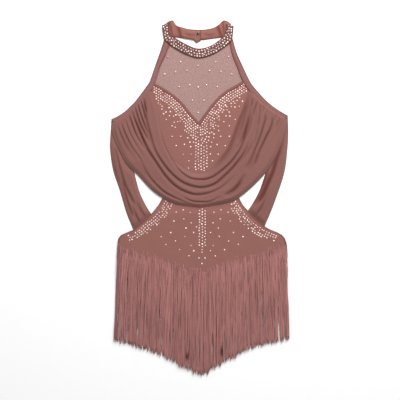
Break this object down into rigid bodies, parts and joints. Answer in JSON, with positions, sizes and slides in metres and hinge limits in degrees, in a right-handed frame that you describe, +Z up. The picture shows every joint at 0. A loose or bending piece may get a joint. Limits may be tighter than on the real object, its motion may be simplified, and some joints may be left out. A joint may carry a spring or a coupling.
{
  "type": "latin dance leotard laid flat",
  "caption": "Backless halter-neck dance leotard laid flat, face up: banded collar, sheer net yoke, draped front swag, open sides and a long fringe over the brief.",
  "frame": {"origin": "centre of the laid-out garment's box, on the surface that it lies on", "axes": "+Y from the fringe hem to the collar, +Z up out of the surface, +X to the right as seen from above"},
  "size_m": [0.3939, 0.7845, 0.0096],
  "materials": {
    "matte_jersey": "matte stretch jersey",
    "swag_jersey": "matte stretch jersey, draped",
    "sheer_net": "sheer stretch net",
    "chainette": "chainette fringe",
    "ring_metal": "small painted ring"
  },
  "bodies": {
    "root": {"collar_front": "matte_jersey", "collar_back_left": "matte_jersey", "collar_back_right": "matte_jersey", "collar_snap": "ring_metal", "yoke_mesh": "sheer_net", "strap_left": "matte_jersey", "strap_right": "matte_jersey", "neckline_binding": "matte_jersey", "bodice_front": "matte_jersey", "drape_front": "swag_jersey", "drape_back_left": "swag_jersey", "drape_back_right": "swag_jersey", "hip_front": "matte_jersey", "hip_back": "matte_jersey", "fringe_front": "chainette", "fringe_back": "chainette"}
  },
  "joints": []
}
